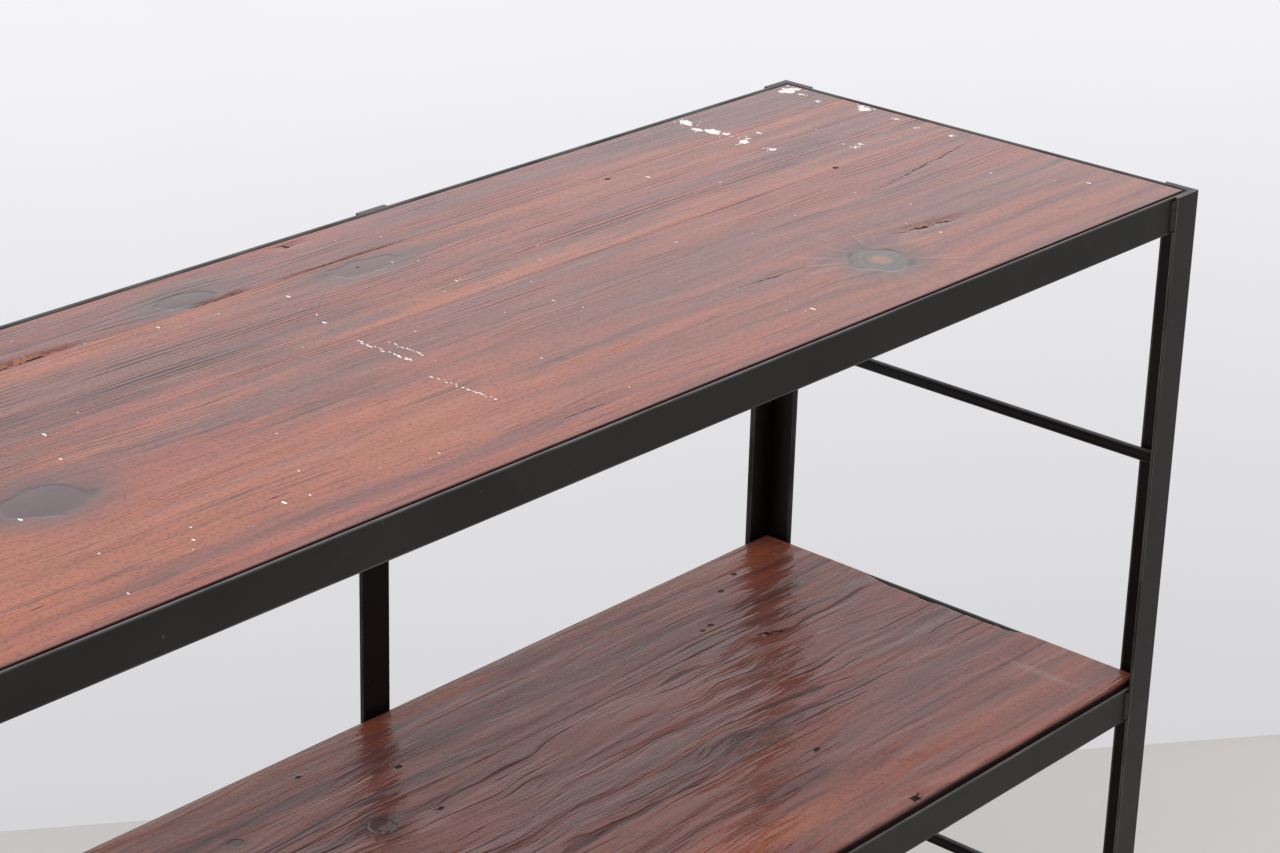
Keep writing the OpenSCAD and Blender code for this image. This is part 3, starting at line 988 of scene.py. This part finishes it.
def make_plank(name, look):
    """A plank with a worn, uneven top, eased edges and worn ends, in the space its CAD solid holds."""
    lo, hi = low(name), high(name)
    outer = (name.endswith("front"), name.endswith("back"))
    on_top = name.startswith("top")
    coarse = 2.0 if name.startswith("bottom") else 1.0
    xs = edged_steps(lo.x, hi.x, 9 * MM * coarse)
    ys = edged_steps(lo.y, hi.y, 3.6 * MM * coarse)
    arris, dip = (TOP_ARRIS, TOP_DIP) if on_top else (LOW_ARRIS, LOW_DIP)
    # dark is how far in from a plank's edge the painted edge shade reaches
    dark = 0.5 * MM if on_top else 1.0 * MM
    nx, ny = len(xs), len(ys)
    verts, faces, edge = [], [], []
    for y in ys:
        worn = end_recess(name, y)
        for x in xs:
            shift = worn * smooth_step(hi.x - 18 * MM, hi.x, x)
            verts.append((x - shift, y, hi.z - plank_drop(look, lo, hi, outer, arris, dip, x, y)))
            ends = 1.0 - min(x - lo.x, hi.x - x) / dark
            gaps = zip(outer, (y - lo.y, hi.y - y))
            sides = [(1.0 if is_outer else 0.35) - gap / dark for is_outer, gap in gaps]
            edge.append(min(max(ends, *sides, 0.0), 1.0))
    for j in range(ny - 1):
        for i in range(nx - 1):
            a = j * nx + i
            faces.append((a, a + 1, a + 1 + nx, a + nx))

    # The sides and the eased underside: two rings of points below the rim of the top, and a spine
    rim = list(range(nx)) + [j * nx + nx - 1 for j in range(1, ny)]
    rim += [(ny - 1) * nx + i for i in range(nx - 2, -1, -1)] + [j * nx for j in range(ny - 2, 0, -1)]
    count, starts = len(rim), []
    middle, size = (lo + hi) / 2, hi - lo
    # the sides' rings take 0.9 of the painted edge shade, and the spine under the plank 0.4
    for height, inset in ((1.0 * MM, 0.0), (0.0, 0.8 * MM)):
        starts.append(len(verts))
        for index in rim:
            px, py, _ = verts[index]
            px = middle.x + (px - middle.x) * (1 - 2 * inset / size.x)
            py = middle.y + (py - middle.y) * (1 - 2 * inset / size.y)
            verts.append((px, py, lo.z + height))
            edge.append(0.9)
    spine, partner = {}, []
    for index in rim:
        inner = min(max(xs[index % nx], lo.x + size.y / 2), hi.x - size.y / 2)
        if inner not in spine:
            spine[inner] = len(verts)
            verts.append((inner, middle.y, lo.z))
            edge.append(0.4)
        partner.append(spine[inner])
    for k in range(count):
        m = (k + 1) % count
        faces.append((rim[k], rim[m], starts[0] + m, starts[0] + k))
        faces.append((starts[0] + k, starts[0] + m, starts[1] + m, starts[1] + k))
        below = (starts[1] + k, starts[1] + m, partner[m], partner[k])
        faces.append(below if partner[m] != partner[k] else below[:3])
    material, body = timber_material(name, look), name.split("_")[0] + "_board"
    add_mesh(f"{name}_timber", verts, faces, material, body, replaces=[name], edge=edge)


def top_height(x, y):
    """The height of the top board's worn surface at a place."""
    for name in ("top_plank_front", "top_plank_middle", "top_plank_back"):
        look, lo, hi = LOOKS[name], low(name), high(name)
        if y <= hi.y or name.endswith("back"):
            outer = (name.endswith("front"), name.endswith("back"))
            return hi.z - plank_drop(look, lo, hi, outer, TOP_ARRIS, TOP_DIP, x, y)


def fleck(verts, faces, x, y, rx, ry, rng, height=THICK_PAINT):
    """Adds a thin uneven drop of dry paint that follows the top board's surface."""
    parts = 14 if max(rx, ry) > 1.2 * MM else 7
    lo, hi = low("top_plank_front"), high("top_plank_back")
    x = min(max(x, lo.x + MM + 1.6 * rx), hi.x - MM - 1.6 * rx)
    y = min(max(y, lo.y + MM + 1.6 * ry), hi.y - MM - 1.6 * ry)
    rings = []
    seed = rng.random() * 100
    for share, lift in ((1.0, 0.0), (0.85, 1.0), (0.3, 1.0)):
        ring = []
        for i in range(parts):
            a = 2 * math.pi * i / parts
            r = share * (1 + 0.6 * ripple(3 * math.cos(a), 3 * math.sin(a), seed))
            px, py = x + rx * r * math.cos(a), y + ry * r * math.sin(a)
            ring.append((px, py, top_height(px, py) + height * lift - 0.01 * MM))
        rings.append(ring)
    loft(verts, faces, rings)


def make_paint():
    """White paint left on the top board: splashes near the right end, dotted scrapes and specks."""
    rng = random.Random(5)
    verts, faces = [], []
    splashes = [
        (131, 338, 5.5, 7), (133, 329, 3, 5), (134, 306, 5.5, 9), (138, 316, 3.5, 6), (131, 296, 3, 4),
        (136, 276, 5.5, 5), (129, 279, 2, 2), (135, 252, 3, 3.5), (15, 335, 9, 8), (6, 330, 3, 4),
        (13, 266, 5.5, 6), (10, 272, 3, 3), (18, 236, 2.2, 1.6), (90, 216, 2.6, 1.4), (82, 218, 1.8, 1),
        (25, 214, 1.6, 1.2), (21, 186, 1.6, 1.4), (113, 282, 1.8, 1.8), (20, 320, 2, 3), (24, 302, 1.6, 1.6),
    ]
    for right, front, rx, ry in splashes:
        x, y = at(right, front)
        fleck(verts, faces, x, y, 0.8 * rx * MM, 0.75 * ry * MM, rng)
        for _ in range(5):
            dx, dy = rng.uniform(-1.6, 1.6) * rx, rng.uniform(-1.8, 1.8) * ry
            size = rng.uniform(0.3, 0.8) * MM
            fleck(verts, faces, x + dx * MM, y + dy * MM, size, 1.4 * size, rng)
    for right, start, end in ((582, 188, 144), (571, 174, 146), (590, 120, 70)):
        front = start
        while front > end:
            x, y = at(right + rng.uniform(-1.3, 1.3), front)
            rx, ry = rng.uniform(0.3, 0.8) * MM, rng.uniform(0.6, 2.0) * MM
            fleck(verts, faces, x, y, rx, ry, rng, THIN_PAINT)
            front -= rng.uniform(1.2, 4.0)
    lo, hi = low("top_plank_front"), high("top_plank_back")
    for _ in range(130):
        x, y = rng.uniform(lo.x + 0.01, hi.x - 0.01), rng.uniform(lo.y + 0.01, hi.y - 0.01)
        size = rng.choice((0.35, 0.4, 0.5, 0.5, 0.6, 0.9)) * MM
        fleck(verts, faces, x, y, size, size * rng.choice((0.7, 1.0, 2.2)), rng, THIN_PAINT)
    add_mesh("paint_flecks", verts, faces, paint_material(), "top_board")


# ---- studio


def stage_plane(name, corners, material):
    mesh = bpy.data.meshes.new(name)
    mesh.from_pydata(corners, [], [(0, 1, 2, 3)])
    mesh.materials.append(material)
    plane = bpy.data.objects.new(name, mesh)
    bpy.context.scene.collection.objects.link(plane)


def floor_material():
    g = Graph("studio_floor")
    x, y, z = g.point()
    cloud = g.noise(x, y, z, 3, detail=4, seed=31)
    base = g.mix(cloud, (0.56, 0.54, 0.51), (0.62, 0.60, 0.57))
    return g.finish(base, 0.5, g.bump(cloud, 0.5 * MM))


def glowing_wall_material():
    """White studio wall that glows with painted light, brightest about 0.75 to 1.1 m up and dimmer towards
    the floor and the top. It shows from its front only, so that it hides nothing from behind.
    """
    g = Graph("studio_wall_glow")
    x, y, z = g.point()
    # uneven patches in the wall's painted light
    stain = g.noise(x, y, z, (1.2, 1.2, 1.2), detail=5, rough=0.6, seed=33)
    # painted light: heights in metres, and how brightly the wall glows there
    levels = [(0.0, 0.69), (0.4, 0.80), (0.75, 0.94), (1.1, 0.93), (1.5, 0.68), (2.2, 0.38), (3.0, 0.35)]
    painted_glow, _, _ = g.ramp(g.times(z, 1 / 3), [(height / 3, (v, v, v)) for height, v in levels])
    painted_glow = g.times(painted_glow, g.between(stain, 0.3, 0.7, 0.985, 1.01))
    lit = g.node("ShaderNodeEmission", {"Color": (0.975, 0.965, 1.0), "Strength": painted_glow}).outputs[0]
    clear = g.node("ShaderNodeBsdfTransparent").outputs[0]
    behind = g.node("ShaderNodeNewGeometry").outputs["Backfacing"]
    both = g.node("ShaderNodeMixShader", {0: behind, 1: lit, 2: clear})
    output = g.node("ShaderNodeOutputMaterial")
    g.links.new(both.outputs[0], output.inputs["Surface"])
    return g.material


WALL_HEADING = 53.0  # degrees from +X towards +Y, square to the wall
WALL_AHEAD = 0.92  # metres from the frame's origin to the wall


def make_stage():
    reach = 8.0
    stage_plane("floor", [(-reach, -reach, 0), (reach, -reach, 0), (reach, reach, 0), (-reach, reach, 0)],
                floor_material())
    heading = math.radians(WALL_HEADING)
    ahead = Vector((math.cos(heading), math.sin(heading), 0))
    aside = Vector((math.sin(heading), -math.cos(heading), 0))
    foot = ahead * WALL_AHEAD
    left, right, rise = foot - aside * 4, foot + aside * 4, Vector((0, 0, 3))
    stage_plane("wall", [tuple(c) for c in (left, right, right + rise, left + rise)], glowing_wall_material())


def area_light(name, place, target, size, power, colour=(1, 1, 1)):
    light = bpy.data.lights.new(name, "AREA")
    light.shape, light.size, light.size_y = "RECTANGLE", size[0], size[1]
    light.energy, light.color = power, colour
    lamp = bpy.data.objects.new(name, light)
    lamp.location = place
    lamp.rotation_mode = "QUATERNION"
    lamp.rotation_quaternion = (Vector(target) - Vector(place)).to_track_quat("-Z", "Y")
    bpy.context.scene.collection.objects.link(lamp)


def make_lights():
    world = bpy.data.worlds.new("studio")
    world.use_nodes = True
    nodes, links = world.node_tree.nodes, world.node_tree.links
    direction = nodes.new("ShaderNodeTexCoord").outputs["Generated"]
    heading = math.radians(CAMERA_HEADING)
    facing = nodes.new("ShaderNodeVectorMath")
    facing.operation = "DOT_PRODUCT"
    links.new(direction, facing.inputs[0])
    facing.inputs[1].default_value = (math.cos(heading), math.sin(heading), 0.5)
    strength = nodes.new("ShaderNodeMapRange")
    links.new(facing.outputs["Value"], strength.inputs["Value"])
    for key, value in (("From Min", -0.9), ("From Max", 0.7), ("To Min", 0.25), ("To Max", 0.95)):
        strength.inputs[key].default_value = value
    background = nodes["Background"]
    background.inputs["Color"].default_value = (0.95, 0.96, 1.0, 1.0)
    links.new(strength.outputs[0], background.inputs["Strength"])
    bpy.context.scene.world = world
    area_light("ceiling_softbox", (-0.6, -0.8, 3.0), (0, 0, 0.6), (3.0, 3.0), 75)
    bpy.context.scene.view_settings.view_transform = "Standard"
    bpy.context.scene.view_settings.look = "None"


def make_camera():
    corner = Vector((CAD_HIGH.x, CAD_LOW.y, CAD_HIGH.z))
    heading, pitch, roll = (math.radians(v) for v in (CAMERA_HEADING, CAMERA_PITCH, CAMERA_ROLL))
    level = math.cos(pitch)
    ahead = Vector((math.cos(heading) * level, math.sin(heading) * level, -math.sin(pitch)))
    right = Vector((math.sin(heading), -math.cos(heading), 0))
    up = right.cross(ahead)
    right, up = right * math.cos(roll) + up * math.sin(roll), up * math.cos(roll) - right * math.sin(roll)
    data = bpy.data.cameras.new("camera")
    data.sensor_width, data.lens = 36.0, CAMERA_LENS
    data.clip_start, data.clip_end = 0.05, 50
    camera = bpy.data.objects.new("camera", data)
    camera.matrix_world = axes(right, up, -ahead, corner + CAMERA_OFFSET)
    bpy.context.scene.collection.objects.link(camera)
    bpy.context.scene.camera = camera


STEEL, WELD, PLATED, PLASTIC = steel_material(), weld_material(), plated_material(), plastic_material()

make_camera()
make_posts()
make_rails()
make_uprights()
make_rods()
make_welds()
dress_plates()
make_pads()
make_screws()
for plank, timber in LOOKS.items():
    make_plank(plank, timber)
make_paint()
make_stage()
make_lights()
